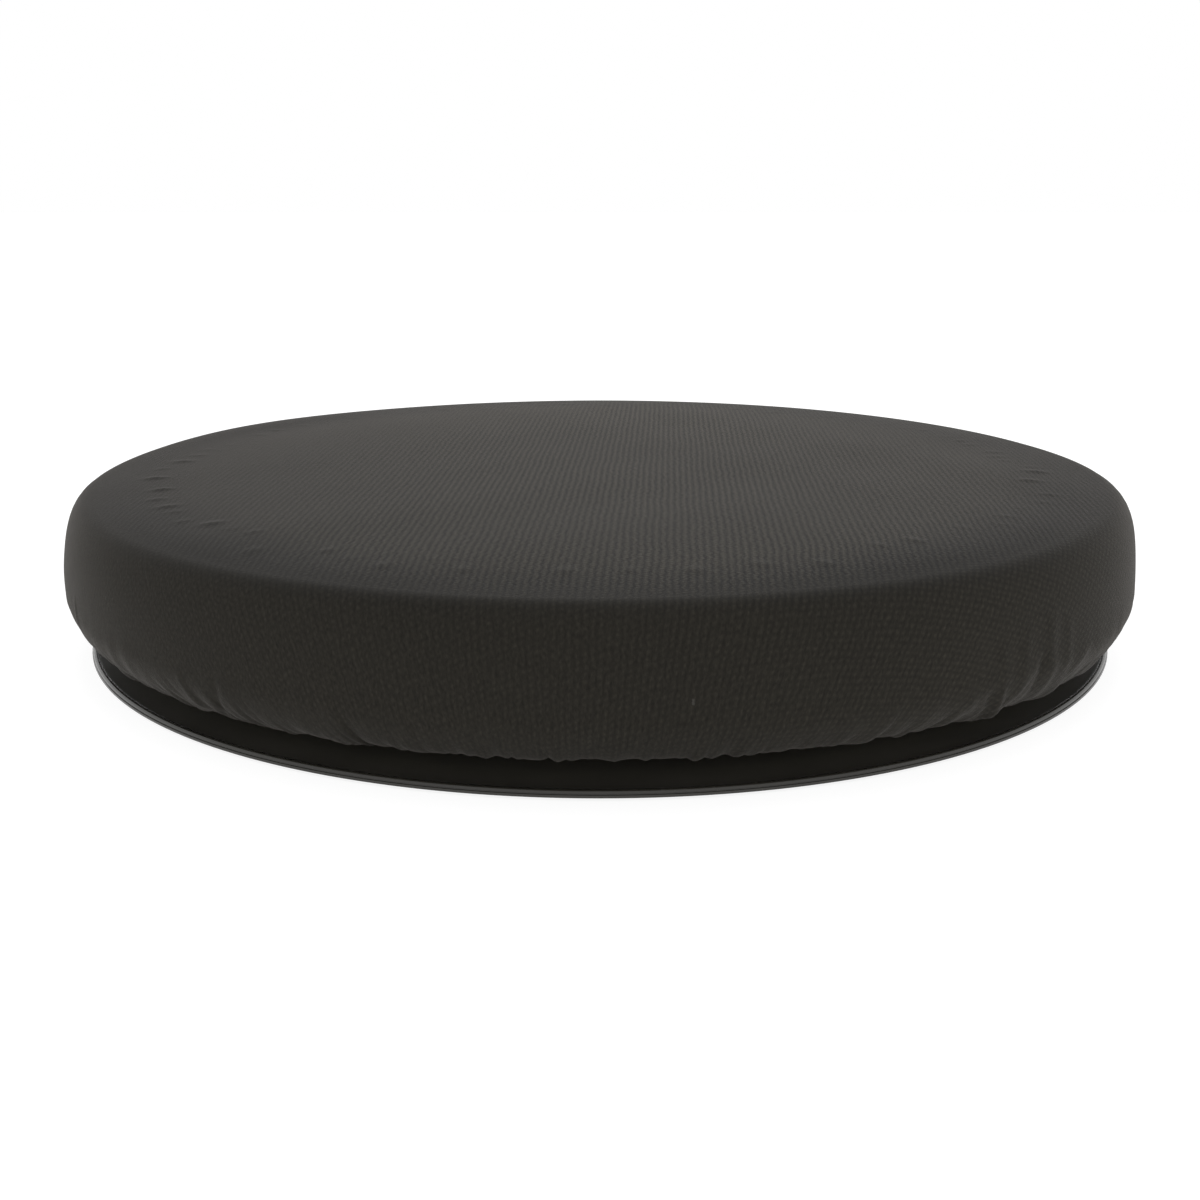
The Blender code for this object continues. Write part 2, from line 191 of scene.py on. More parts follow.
def knit_material():
    """Black stretch knit: ribs crossed by slanting rows of stitches, with soft fuzz and a little lint. The stitches
    carry painted shade in their valleys, fainter down the side and set by bearing to follow how the light falls.
    Painted shade darkens a band round the shoulder, the left and right of the top, a patch of the top and the cloth
    near the hem, and painted light brightens the right flank."""
    n = Nodes("cover_knit")
    cloth = n.add("ShaderNodeAttribute", attribute_name="weave").outputs["Vector"]
    wander = n.noise(cloth, 0.035, 2.0, colour=True)
    wander = n.vector("SUBTRACT", wander, (0.5, 0.5, 0.5))
    jitter = n.vector("SUBTRACT", n.noise(cloth, 0.32, 1.0, colour=True), (0.5, 0.5, 0.5))
    place = n.vector("ADD", cloth, n.vector("SCALE", wander, scale=1.6))
    place = n.vector("ADD", place, n.vector("SCALE", jitter, scale=1.5))
    speck = n.voronoi(n.vector("MULTIPLY", place, (1.0, 0.55, 1.0)), 0.055, output="Distance")
    reach = n.vector("LENGTH", n.vector("MULTIPLY", cloth, (1.0, 1.0, 0.0)))
    over = n.math("DIVIDE", n.math("MAXIMUM", n.math("SUBTRACT", reach, 150.0), 0.0), n.math("MAXIMUM", reach, 1.0))
    place = n.vector("SCALE", place, scale=n.math("MULTIPLY_ADD", over, 0.13, 1.0))
    rib = n.math("SINE", n.math("MULTIPLY", n.vector("DOT_PRODUCT", place, (*RIBS, 0.0)), TURN))
    row = n.math("SINE", n.math("MULTIPLY", n.vector("DOT_PRODUCT", place, (*ROWS, 0.0)), TURN))
    both = n.math("MULTIPLY", rib, row)
    right = n.vector("DOT_PRODUCT", cloth, (1.0, 0.0, 0.0))
    drawn = n.math("ABSOLUTE", right)
    # Painted shade: how strongly the ribs and rows show in the colour is set by bearing and by distance along the
    # cloth, following how the light falls on each part.
    rib = n.math("MULTIPLY", rib, n.remap(reach, 171.0, 195.0, 0.345, 0.045, smooth=True))
    rib = n.math("MULTIPLY", rib, n.remap(right, -165.0, -60.0, 0.45, 1.0, smooth=True))
    behind = n.vector("DOT_PRODUCT", cloth, (0.8, 0.6, 0.0))
    rib = n.math("MULTIPLY", rib, n.remap(behind, 105.0, 150.0, 1.04, 0.72, smooth=True))
    behind = n.vector("DOT_PRODUCT", cloth, (-0.75, 0.66, 0.0))
    rib = n.math("MULTIPLY", rib, n.remap(behind, 78.0, 118.0, 1.0, 0.55, smooth=True))
    rib = n.math("MULTIPLY", rib, n.remap(reach, 158.0, 178.0, 1.0, 1.25, smooth=True))
    centre = n.math("MINIMUM", n.remap(right, -100.0, -30.0, 0.0, 1.0), n.remap(right, 50.0, 110.0, 1.0, 0.0))
    back = n.remap(n.vector("DOT_PRODUCT", cloth, (0.0, 1.0, 0.0)), -110.0, -40.0, 0.0, 0.28, smooth=True)
    rib = n.math("MULTIPLY", rib, n.math("MULTIPLY_ADD", centre, back, 1.0))
    corner = n.vector("DOT_PRODUCT", cloth, (0.72, -0.69, 0.0))
    rib = n.math("MULTIPLY", rib, n.remap(corner, 125.0, 165.0, 1.0, 1.35, smooth=True))
    row = n.math("MULTIPLY", row, n.remap(reach, 172.0, 196.0, 0.03, 0.034, smooth=True))
    row = n.math("MULTIPLY", row, n.remap(right, 30.0, 150.0, 1.0, 2.4, smooth=True))
    both = n.math("MULTIPLY", both, n.remap(reach, 165.0, 185.0, 0.09, 0.045))
    dash = n.noise(n.vector("MULTIPLY", cloth, (1.0, 0.25, 1.0)), 0.8, 2.0, 0.6)
    rib = n.math("MULTIPLY", rib, n.remap(dash, 0.3, 0.7, 0.30, 1.70))
    stitch = n.math("ADD", n.math("ADD", rib, row), n.math("ADD", both, 0.5))
    yarn = n.noise(cloth, 2.4, 3.0, 0.6)
    fuzz = n.noise(cloth, 9.0, 2.0, 0.7)
    pile = n.noise(n.vector("MULTIPLY", cloth, (1.0, 0.42, 1.0)), 1.35, 3.0, 0.65)
    patch = n.noise(cloth, 0.012, 3.0, 0.5)
    strip = n.noise(n.vector("MULTIPLY", cloth, (0.45, 0.02, 1.0)), 1.0, 2.0, 0.6)
    # Painted shade: the stitch heights darken the colour in the valleys between ribs and rows.
    painted_stitch_shade = n.remap(stitch, 0.0, 1.0, 0.12, 1.88)
    tone = n.math("MULTIPLY", painted_stitch_shade, n.remap(yarn, 0.25, 0.75, 0.88, 1.12))
    spread = n.remap(reach, 148.0, 182.0, 0.17, 0.31, smooth=True)
    tone = n.math("MULTIPLY", tone, n.math("MULTIPLY_ADD", n.remap(pile, 0.3, 0.7, -1.0, 1.0), spread, 1.0))
    tone = n.math("MULTIPLY", tone, n.remap(patch, 0.3, 0.7, 0.95, 1.05))
    tone = n.math("MULTIPLY", tone, n.remap(strip, 0.3, 0.7, 0.97, 1.03))
    # Painted shade: a band round the shoulder, 49 to 60% darker, stronger towards the front and starting further in
    # towards the left and right.
    painted_shoulder_shade = n.math(
        "MINIMUM",
        n.remap(n.math("ADD", reach, n.remap(drawn, 50.0, 110.0, 0.0, 5.0, smooth=True)), 148.0, 182.0, 0.0, 1.0, smooth=True),
        n.remap(reach, 183.5, 196.0, 1.0, 0.0, smooth=True),
    )
    ahead = n.vector("DOT_PRODUCT", cloth, (0.0, -1.0, 0.0))
    ahead = n.math("MULTIPLY", n.remap(ahead, 20.0, 90.0, 0.0, 1.0, smooth=True), n.remap(drawn, 25.0, 100.0, 0.0, 0.11, smooth=True))
    painted_shoulder_shade = n.math("MULTIPLY", painted_shoulder_shade, n.math("ADD", ahead, 0.49))
    tone = n.math("MULTIPLY", tone, n.math("SUBTRACT", 1.0, painted_shoulder_shade))
    # Painted shade: the top is darkened by up to 19% towards its left and right, fading out over the shoulder.
    painted_side_shade = n.math("MULTIPLY", n.remap(drawn, 35.0, 150.0, 0.0, 0.19, smooth=True), n.remap(reach, 178.0, 194.0, 1.0, 0.0))
    tone = n.math("MULTIPLY", tone, n.math("SUBTRACT", 1.0, painted_side_shade))
    # Painted shade: the cloth is darkened by up to 16% towards the hem.
    tone = n.math("MULTIPLY", tone, n.remap(reach, 222.0, 240.0, 1.0, 0.84, smooth=True))
    # Painted shade: a patch of the top, centred towards the front left, is darkened by up to 17%.
    middle = n.vector("LENGTH", n.vector("ADD", cloth, (40.0, 45.0, 0.0)))
    tone = n.math("MULTIPLY", tone, n.remap(middle, 85.0, 165.0, 0.83, 1.0, smooth=True))
    # Painted light: the right side below the shoulder is lightened by up to 10%.
    painted_flank_light = n.math(
        "MINIMUM",
        n.remap(right, 70.0, 120.0, 0.0, 1.0, smooth=True),
        n.remap(right, 140.0, 172.0, 1.0, 0.0, smooth=True),
    )
    painted_flank_light = n.math("MULTIPLY", painted_flank_light, n.remap(reach, 190.0, 204.0, 0.0, 0.10, smooth=True))
    tone = n.math("MULTIPLY", tone, n.math("ADD", painted_flank_light, 1.0))
    colour = n.vector("SCALE", (0.0166, 0.0149, 0.0116), scale=tone)
    lint = n.remap(speck, 0.018, 0.030, 1.0, 0.0, smooth=True)
    thread = n.noise(cloth, 1.3, 2.0)
    lint = n.math("MULTIPLY", lint, n.remap(thread, 0.50, 0.56, 0.0, 0.85))
    fleck = n.vector("MULTIPLY", n.vector("SUBTRACT", cloth, (27.4, -215.0, 0.0)), (1.0, 0.7, 0.0))
    fleck = n.math("ADD", n.vector("LENGTH", fleck), n.remap(thread, 0.3, 0.7, -0.3, 0.3))
    lint = n.math("MAXIMUM", lint, n.remap(fleck, 0.30, 0.70, 0.55, 0.0, smooth=True))
    colour = n.mix(lint, colour, (0.060, 0.057, 0.052))
    rough = n.remap(yarn, 0.2, 0.8, 0.80, 0.95)
    normal = n.bump(stitch, 0.00011, 1.0)
    normal = n.bump(pile, 0.00010, 0.8, normal)
    normal = n.bump(yarn, 0.00010, 0.7, normal)
    normal = n.bump(fuzz, 0.00004, 0.6, normal)
    n.fix(
        Sheen_Weight=0.111,
        Sheen_Roughness=0.31,
        Sheen_Tint=(0.96, 0.90, 0.85, 1.0),
        Specular_IOR_Level=0.18,
        IOR=1.45,
    )
    return n.out(colour, rough, normal)


def moulded_material(name, colour, rough=(0.34, 0.50), grain=0.5, depth=0.00002, rubbed=None):
    """Injection-moulded plastic with a faint grain, cloudy gloss and fine scuffs. Beyond the radius rubbed, in
    millimetres, handling keeps it glossier; on top, inside it, painted light lightens the web where the seat's
    overhang shades it."""
    n = Nodes(name)
    place = object_place(n)
    cloud = n.noise(place, 0.04, 4.0)
    pebble = n.noise(place, 1.0 / grain, 3.0, 0.6)
    scuff = n.noise(n.vector("MULTIPLY", place, (0.25, 1.4, 1.0)), 0.5, 5.0, 0.75)
    tone = n.math("MULTIPLY", n.remap(cloud, 0.3, 0.7, 0.92, 1.08), n.remap(scuff, 0.55, 0.75, 1.0, 1.35))
    gloss = n.math("ADD", n.remap(cloud, 0.3, 0.7, *rough), n.remap(scuff, 0.58, 0.74, 0.0, 0.16))
    if rubbed is not None:
        radius = n.vector("LENGTH", n.vector("MULTIPLY", place, (1.0, 1.0, 0.0)))
        upper = n.remap(n.vector("DOT_PRODUCT", place, (0.0, 0.0, 1.0)), 1.5, 2.1, 0.0, 1.0)
        # Painted light: the top of the web is lightened up to 4.2 times where the seat's overhang shades it, fading
        # out further in and weaker towards the left and right.
        painted_gap_light = n.math("MULTIPLY", upper, n.remap(radius, rubbed - 70.0, rubbed - 35.0, 0.08, 1.0, smooth=True))
        painted_gap_light = n.math("MULTIPLY", painted_gap_light, n.remap(radius, rubbed - 12.0, rubbed + 0.5, 3.2, 0.0))
        aside = n.math("ABSOLUTE", n.vector("DOT_PRODUCT", place, (1.0, 0.0, 0.0)))
        painted_gap_light = n.math("MULTIPLY", painted_gap_light, n.remap(aside, 70.0, 165.0, 1.0, 0.72, smooth=True))
        tone = n.math("MULTIPLY", tone, n.math("ADD", painted_gap_light, 1.0))
        inside = n.remap(radius, rubbed - 0.5, rubbed + 0.5, 1.0, 0.0, smooth=True)
        gloss = n.math("ADD", gloss, n.math("MULTIPLY", inside, n.remap(upper, 0.0, 1.0, 0.16, 0.34)))
    shade = n.vector("SCALE", colour, scale=tone)
    normal = n.bump(pebble, depth, 0.8)
    return n.out(shade, gloss, normal)


def rubber_material():
    n = Nodes("anti_slip_rubber")
    place = object_place(n)
    grain = n.noise(place, 2.0, 3.0, 0.7)
    dust = n.noise(place, 0.08, 5.0, 0.7)
    colour = n.mix(n.remap(dust, 0.45, 0.75, 0.0, 0.5), (0.018, 0.018, 0.018), (0.055, 0.052, 0.047))
    n.fix(Specular_IOR_Level=0.35)
    return n.out(colour, n.remap(grain, 0.2, 0.8, 0.78, 0.95), n.bump(grain, 0.00006, 0.8))


def steel_material(name, colour, rough, turned_marks=True):
    """Bright steel: turning marks run round the axis, with a thin film of grease that clouds the gloss."""
    n = Nodes(name)
    place = object_place(n)
    cloud = n.noise(place, 0.09, 4.0)
    if turned_marks:
        split = n.add("ShaderNodeSeparateXYZ")
        n.link(place, split.inputs[0])
        flat = n.add("ShaderNodeCombineXYZ")
        n.link(split.outputs[0], flat.inputs[0])
        n.link(split.outputs[1], flat.inputs[1])
        radius = n.vector("LENGTH", flat.outputs[0])
        lines = n.add("ShaderNodeCombineXYZ")
        n.link(radius, lines.inputs[0])
        n.link(n.math("MULTIPLY", split.outputs[2], 3.0), lines.inputs[2])
        marks = n.noise(lines.outputs[0], 5.0, 4.0, 0.7)
    else:
        marks = n.noise(place, 6.0, 3.0, 0.6)
    shade = n.vector("SCALE", colour, scale=n.remap(cloud, 0.3, 0.7, 0.90, 1.06))
    gloss = n.math("ADD", n.remap(marks, 0.3, 0.7, rough - 0.06, rough + 0.08), n.remap(cloud, 0.4, 0.7, 0.0, 0.08))
    n.fix(Metallic=1.0)
    return n.out(shade, gloss, n.bump(marks, 0.000012, 0.7))


def foam_material():
    n = Nodes("foam")
    place = object_place(n)
    cells = n.voronoi(place, 1.1)
    tone = n.math("MULTIPLY", n.remap(cells, 0.0, 0.7, 0.75, 1.08), n.remap(n.noise(place, 0.02, 3.0), 0.3, 0.7, 0.93, 1.05))
    shade = n.vector("SCALE", (0.50, 0.47, 0.38), scale=tone)
    n.fix(Specular_IOR_Level=0.2)
    return n.out(shade, n.remap(cells, 0.0, 0.7, 1.0, 0.9), n.bump(cells, 0.0004, 0.9))


def elastic_material():
    """Braided elastic: fine ribs round the cord, crossed by the braid."""
    n = Nodes("elastic")
    weave = n.add("ShaderNodeAttribute", attribute_name="weave").outputs["Vector"]
    split = n.add("ShaderNodeSeparateXYZ")
    n.link(weave, split.inputs[0])
    along = n.math("SINE", n.math("MULTIPLY", split.outputs[0], TURN / 1.1))
    round_it = n.math("SINE", n.math("MULTIPLY", split.outputs[1], TURN / 0.8))
    braid = n.math("MULTIPLY", n.math("ADD", n.math("ADD", along, round_it), 2.0), 0.25)
    shade = n.vector("SCALE", (0.022, 0.021, 0.020), scale=n.remap(braid, 0.1, 0.9, 0.6, 1.3))
    n.fix(Sheen_Weight=0.2, Sheen_Roughness=0.5)
    return n.out(shade, n.remap(braid, 0.0, 1.0, 0.9, 0.7), n.bump(braid, 0.00012, 1.0))


# -------------------------------------------------------------------- geometry


def fillet(points, radius, steps=3):
    """A closed section with each corner rounded, by less where its edges are short."""
    points = [Vector(p) for p in points]
    made = []
    for i, corner in enumerate(points):
        before, after = points[i - 1], points[(i + 1) % len(points)]
        a, b = before - corner, after - corner
        turn = a.angle(b) if a.length > 1e-6 and b.length > 1e-6 else math.pi
        if corner.x < 1e-6 or not math.radians(5) < turn < math.radians(165):
            made.append(tuple(corner))
            continue
        reach = min(radius / math.tan(turn / 2), a.length * 0.42, b.length * 0.42)
        start, end = corner + a.normalized() * reach, corner + b.normalized() * reach
        for k in range(steps + 1):
            t = k / steps
            made.append(tuple(start * (1 - t) ** 2 + corner * 2 * t * (1 - t) + end * t * t))
    return made


def turned(name, section, facets, finish, body, replaced, sharp=40.0):
    """A closed (radius, height) section spun round Z, as a piece that rides on its body."""
    bm = bmesh.new()
    rings = []
    for r, z in section:
        if r < 1e-6:
            rings.append([bm.verts.new((0.0, 0.0, z * MM))] * facets)
            continue
        rings.append(
            [
                bm.verts.new(
                    (r * MM * math.cos(TURN * k / facets), r * MM * math.sin(TURN * k / facets), z * MM)
                )
                for k in range(facets)
            ]
        )
    for a, b in zip(rings, rings[1:] + rings[:1]):
        if a[0] is a[1] and b[0] is b[1]:
            continue
        for k in range(facets):
            m = (k + 1) % facets
            corners = [a[k], a[m], b[m], b[k]]
            bm.faces.new(list(dict.fromkeys(corners)))
    bmesh.ops.recalc_face_normals(bm, faces=bm.faces)
    return finished(name, bm, finish, body, replaced, sharp)


def finished(name, bm, finish, body, replaced, sharp=40.0):
    mesh = bpy.data.meshes.new(name)
    bm.to_mesh(mesh)
    bm.free()
    mesh.shade_smooth()
    mesh.set_sharp_from_angle(angle=math.radians(sharp))
    piece = bpy.data.objects.new(name, mesh)
    SCENE.collection.objects.link(piece)
    if finish is not None:
        mesh.materials.append(finish)
    if body is not None:
        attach(piece, body)
    if replaced:
        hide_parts(*replaced)
    return piece


def boxes(name, count, inner, outer, low, high, wide, turn=0.0):
    """Radial ribs, one box each, as a helper for a Boolean."""
    bm = bmesh.new()
    for i in range(count):
        bmesh.ops.create_cube(
            bm,
            size=1.0,
            matrix=Matrix.Rotation(turn + TURN * i / count, 4, "Z")
            @ Matrix.Translation(((inner + outer) / 2 * MM, 0.0, (low + high) / 2 * MM))
            @ Matrix.Diagonal(((outer - inner) * MM, wide * MM, (high - low) * MM, 1.0)),
        )
    return finished(name, bm, None, None, ())


def hexagon(name, flats, low, high):
    bm = bmesh.new()
    bmesh.ops.create_cone(
        bm,
        cap_ends=True,
        segments=6,
        radius1=flats / 2 / math.cos(math.pi / 6) * MM,
        radius2=flats / 2 / math.cos(math.pi / 6) * MM,
        depth=(high - low) * MM,
        matrix=Matrix.Translation((0.0, 0.0, (low + high) / 2 * MM)),
    )
    return finished(name, bm, None, None, ())


def evaluated(piece):
    """The piece's mesh with its modifiers applied."""
    bpy.context.view_layer.update()
    graph = bpy.context.evaluated_depsgraph_get()
    return bpy.data.meshes.new_from_object(piece.evaluated_get(graph), depsgraph=graph)


def cut_and_join(piece, *changes):
    """Applies exact Booleans with helper pieces, which are then removed."""
    for helper, operation in changes:
        change = piece.modifiers.new(helper.name, "BOOLEAN")
        change.operation = operation
        change.object = helper
        change.solver = "EXACT"
    mesh = evaluated(piece)
    piece.modifiers.clear()
    old = piece.data
    mesh.name = old.name
    piece.data = mesh
    bpy.data.meshes.remove(old)
    for helper, _ in changes:
        bpy.data.objects.remove(helper, do_unlink=True)
    mesh.shade_smooth()
    mesh.set_sharp_from_angle(angle=math.radians(40.0))


# ------------------------------------------------------------------- the cover


def outline():
    """The seat's profile from the middle of its crown to the hem, as points and their distance along the cloth."""
    points = []
    for r in np.linspace(0.0, SHOULDER[0], 400)[:-1]:
        share = max(r - TOP_FLAT_R, 0.0) / (SHOULDER[0] - TOP_FLAT_R)
        points.append((r, SHOULDER[1] + CROWN * (1.0 - share**CROWN_POWER)))
    for t in np.linspace(math.pi / 2, 0.0, 400):
        points.append(
            (
                SHOULDER[0] + (WIDEST[0] - SHOULDER[0]) * max(math.cos(t), 0.0) ** (2 / HIGH_POWER),
                WIDEST[1] + (SHOULDER[1] - WIDEST[1]) * math.sin(t) ** (2 / HIGH_POWER),
            )
        )
    for t in np.linspace(math.pi / 2, 0.0, 300)[1:]:
        points.append(
            (
                COVER_LOW[0] + (WIDEST[0] - COVER_LOW[0]) * math.sin(t) ** (2 / LOW_POWER),
                WIDEST[1] - (WIDEST[1] - COVER_LOW[1]) * max(math.cos(t), 0.0) ** (2 / LOW_POWER),
            )
        )
    for r in np.linspace(COVER_LOW[0], HEM_R, 80)[1:]:
        points.append((r, COVER_LOW[1]))
    points = np.array(points)
    along = np.concatenate([[0.0], np.cumsum(np.hypot(*np.diff(points, axis=0).T))])
    return points, along


OUTLINE, ALONG = outline()
S_SHOULDER = float(ALONG[399])
S_LOW = float(ALONG[399 + 699])
S_END = float(ALONG[-1])


def on_outline(s):
    """Radius and height at a distance s along the cloth, and the outward direction there."""
    r, z = np.interp(s, ALONG, OUTLINE[:, 0]), np.interp(s, ALONG, OUTLINE[:, 1])
    ahead, behind = np.minimum(s + 0.4, S_END), np.maximum(s - 0.4, 0.0)
    dr = np.interp(ahead, ALONG, OUTLINE[:, 0]) - np.interp(behind, ALONG, OUTLINE[:, 0])
    dz = np.interp(ahead, ALONG, OUTLINE[:, 1]) - np.interp(behind, ALONG, OUTLINE[:, 1])
    size = np.hypot(dr, dz)
    return r, z, -dz / size, dr / size


SEGMENTS = 704


def cover_rings():
    """(distance along the cloth, points) of each ring: fine where the cloth puckers inside the shoulder, and finest
    where it gathers along its lower edge."""
    rings = [(4.0, 44), (10.0, 44), (18.0, 88), (27.0, 88)]
    for low, high, step, count in (
        (36.0, 108.0, 8.0, 176),
        (108.0, 138.0, 3.4, 352),
        (138.0, 171.0, 1.6, SEGMENTS),
        (171.0, 214.0, 2.05, SEGMENTS),
        (214.0, S_LOW + 7.0, 1.15, 2 * SEGMENTS),
        (S_LOW + 7.0, S_END, 2.0, SEGMENTS),
    ):
        parts = max(int(round((high - low) / step)), 1)
        rings += [(low + (high - low) * k / parts, count) for k in range(parts)]
    return rings + [(S_END, SEGMENTS)]


def noise_wave(rng, where, longest, shortest, waves=14):
    """A smooth random wave along one direction, about 1 high, from seeded sines between two wavelengths."""
    total = np.zeros_like(where)
    for _ in range(waves):
        length = math.exp(rng.uniform(math.log(shortest), math.log(longest)))
        total += np.sin(TURN * where / length + rng.uniform(0.0, TURN)) * (length / longest) ** 0.35
    return total / math.sqrt(waves / 2)


def simulated_band():
    """The cover's lower band as cloth: it starts on the outline with more cloth round it than there is room for, as
    when a flat round of knit is drawn in by its hem, and light pressure from the foam fills it. Gives the distances
    along the cloth, and how far each point moved there: out along the outline's normal, round the axis, and down
    along the profile, without the band's mean."""
    top = 196.0
    s = np.concatenate([np.arange(top, S_LOW, 2.1), np.linspace(S_LOW, S_END, 10)])
    angle = np.arange(SEGMENTS) * TURN / SEGMENTS
    r, z, out_r, out_z = on_outline(s)
    spare = np.interp(s, [top, top + 12.0, S_LOW - 12.0, S_LOW, S_END], [0.0, 0.03, 0.25, 0.60, 0.95])
    rest_r = r + spare * (s - r)
    drop = -np.sqrt(np.maximum(np.diff(s) ** 2 - np.diff(rest_r) ** 2, 1e-6))
    rest_z = np.concatenate([[0.0], np.cumsum(drop)])
    rng = np.random.default_rng(11)
    size = np.interp(s, [top, S_LOW - 10.0, S_LOW, S_END], [0.0, 0.05, 0.25, 0.35])
    wave = np.zeros(SEGMENTS)
    for k in rng.integers(50, 130, 40):
        wave += np.sin(k * angle + rng.uniform(0.0, TURN)) / 4.5
    start_r = r[:, None] + size[:, None] * wave
    start_z = z[:, None] + 0.0 * angle
    cos, sin = np.cos(angle), np.sin(angle)

    scale = 0.1
    points = np.stack([start_r * cos, start_r * sin, start_z], -1)
    rest = np.stack([rest_r[:, None] * cos, rest_r[:, None] * sin, rest_z[:, None] + 0.0 * angle], -1)
    count = len(s)
    faces = [
        (
            i * SEGMENTS + j,
            (i + 1) * SEGMENTS + j,
            (i + 1) * SEGMENTS + (j + 1) % SEGMENTS,
            i * SEGMENTS + (j + 1) % SEGMENTS,
        )
        for i in range(count - 1)
        for j in range(SEGMENTS)
    ]
    mesh = bpy.data.meshes.new("band")
    mesh.from_pydata((points.reshape(-1, 3) * scale).tolist(), [], faces)
    band = bpy.data.objects.new("band", mesh)
    SCENE.collection.objects.link(band)
    band.shape_key_add(name="Basis")
    slack = band.shape_key_add(name="slack")
    slack.data.foreach_set("co", (rest.reshape(-1, 3) * scale).ravel())
    slack.value = 0.0
    held = band.vertex_groups.new(name="held")
    held.add(list(range(2 * SEGMENTS)), 1.0, "REPLACE")
    held.add(list(range((count - 1) * SEGMENTS, count * SEGMENTS)), 1.0, "REPLACE")
    cloth = band.modifiers.new("cloth", "CLOTH")
    knit = cloth.settings
    knit.quality = 6
    knit.mass = 0.05
    knit.tension_stiffness = 30.0
    knit.compression_stiffness = 12.0
    knit.shear_stiffness = 4.0
    knit.bending_model = "ANGULAR"
    knit.bending_stiffness = 5.0
    knit.tension_damping = knit.compression_damping = knit.shear_damping = 5.0
    knit.air_damping = 2.0
    knit.vertex_group_mass = "held"
    knit.pin_stiffness = 50.0
    knit.rest_shape_key = slack
    knit.use_pressure = True
    knit.uniform_pressure_force = 0.1
    knit.effector_weights.gravity = 0.0
    cloth.collision_settings.use_collision = False
    cloth.point_cache.frame_start = 1
    cloth.point_cache.frame_end = 36
    for step in range(1, 37):
        SCENE.frame_set(step)
    settled = evaluated(band)
    moved = np.empty(len(settled.vertices) * 3)
    settled.vertices.foreach_get("co", moved)
    moved = moved.reshape(count, SEGMENTS, 3) / scale
    bpy.data.meshes.remove(settled)
    bpy.data.objects.remove(band, do_unlink=True)
    bpy.data.meshes.remove(mesh)
    SCENE.frame_set(1)

    base = np.stack([r[:, None] * cos, r[:, None] * sin, z[:, None] + 0.0 * angle], -1)
    shift = moved - base
    away = shift[..., 0] * cos + shift[..., 1] * sin
    aside = -shift[..., 0] * sin + shift[..., 1] * cos
    up = shift[..., 2]
    out = away * out_r[:, None] + up * out_z[:, None]
    down = away * out_z[:, None] - up * out_r[:, None]
    waves = np.fft.rfftfreq(SEGMENTS, 1.0 / SEGMENTS)
    keep = np.exp(-((waves / 190.0) ** 4))
    keep[0] = 0.0
    calm = []
    for field in (out, aside, down):
        field = np.fft.irfft(np.fft.rfft(field, axis=1) * keep, SEGMENTS, axis=1)
        field[1:-1] = 0.25 * field[:-2] + 0.5 * field[1:-1] + 0.25 * field[2:]
        field = field * smooth_step(s, top + 8.0, S_LOW - 4.0)[:, None]
        calm.append(np.clip(field, -1.4, 1.8))
    return s, calm


def drift_at(s, count, band):
    """The simulated shift of one ring of points, taken smoothly between the simulated rings."""
    if band is None or s <= band[0][0]:
        return np.zeros((3, count))
    places, fields = band
    k = int(np.clip(np.searchsorted(places, s) - 1, 0, len(places) - 2))
    t = (s - places[k]) / (places[k + 1] - places[k])
    rows = [min(max(k + i, 0), len(places) - 1) for i in (-1, 0, 1, 2)]
    weights = (
        -0.5 * t + t * t - 0.5 * t**3,
        1.0 - 2.5 * t * t + 1.5 * t**3,
        0.5 * t + 2.0 * t * t - 1.5 * t**3,
        -0.5 * t * t + 0.5 * t**3,
    )
    made = []
    for field in fields:
        ring = sum(w * field[row] for w, row in zip(weights, rows))
        wave = np.fft.rfft(ring)
        full = np.zeros(count // 2 + 1, complex)
        kept = min(len(wave), len(full))
        full[:kept] = wave[:kept]
        made.append(np.fft.irfft(full, count) * count / SEGMENTS)
    return np.array(made)


def smooth_step(x, low, high):
    t = np.clip((x - low) / (high - low), 0.0, 1.0)
    return t * t * (3.0 - 2.0 * t)


def angle_from(angle, degrees):
    """Signed angle from a bearing given in degrees."""
    return (angle - math.radians(degrees) + math.pi) % TURN - math.pi


def puckers():
    """(angle, distance along the cloth, size, height) of the small raised puckers inside the shoulder."""
    rng = np.random.default_rng(5)
    spots = []
    angle = 0.0
    while angle < 360.0:
        front = math.cos(math.radians(angle + 90.0))
        middle = 163.0 - 1.5 * max(front, 0.0)
        spots.append(
            (angle, middle + rng.uniform(-5.0, 4.0), rng.uniform(1.5, 2.5), rng.uniform(0.05, 0.26))
        )
        angle += rng.uniform(3.2, 7.0)
    for angle, s, size, high in (
        (176.1, 163.0, 2.5, 0.42),
        (-178.6, 166.5, 1.9, 0.22),
        (-172.0, 165.5, 2.4, 0.54),
        (-163.9, 162.0, 2.2, 0.56),
        (-158.0, 165.0, 1.9, 0.34),
        (-153.0, 163.5, 2.4, 0.42),
        (-149.5, 163.5, 1.8, 0.22),
        (-144.1, 166.0, 1.8, 0.24),
        (-140.6, 160.5, 2.4, 0.46),
        (-127.3, 171.0, 2.3, 0.22),
        (-112.0, 166.5, 2.3, 0.28),
        (-103.7, 163.5, 2.1, 0.22),
        (-93.6, 161.5, 2.3, 0.30),
        (-86.8, 160.5, 1.9, 0.18),
        (-80.4, 162.5, 2.3, 0.30),
        (-73.3, 161.0, 2.2, 0.27),
        (-67.1, 166.5, 2.3, 0.30),
        (-53.0, 159.5, 2.3, 0.30),
        (-3.6, 164.5, 2.7, 0.48),
        (-10.5, 159.5, 2.5, 0.44),
        (-18.5, 166.0, 2.1, 0.28),
    ):
        spots = [p for p in spots if abs((p[0] - angle + 180.0) % 360.0 - 180.0) > 3.2]
        spots.append((angle, s, size, high))
    return spots


